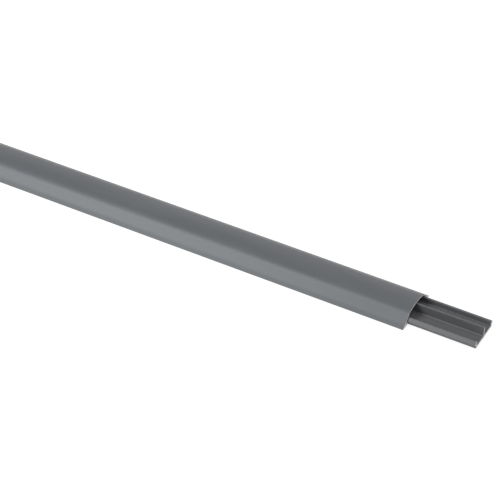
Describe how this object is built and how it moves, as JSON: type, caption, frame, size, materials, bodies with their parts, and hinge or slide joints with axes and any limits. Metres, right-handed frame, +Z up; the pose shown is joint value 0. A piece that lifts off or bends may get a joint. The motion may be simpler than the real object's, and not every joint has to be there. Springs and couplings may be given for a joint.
{
  "type": "floor cord cover",
  "caption": "Low arched plastic trunking for cords across a floor: a barbed base channel with a divider, and a clip-on cover pushed part way along it.",
  "frame": {"origin": "on the floor, in the middle of the box around both pieces", "axes": "+X along the extrusion, towards the end where the base channel sticks out of the cover; +Z up from the floor, through the crown of the arch"},
  "size_m": [2.061, 0.05, 0.013],
  "materials": {
    "base_plastic": "satin grey extruded plastic, as it comes from the die",
    "cover_plastic": "satin grey extruded plastic, as it comes from the die"
  },
  "bodies": {
    "base": {"base_channel": "base_plastic"},
    "cover": {"cover": "cover_plastic"}
  },
  "joints": [
    {"name": "cover_slide", "type": "slide", "parent": "base", "child": "cover", "axis": [1, 0, 0], "range_m": [-0.939, 0.061]}
  ]
}
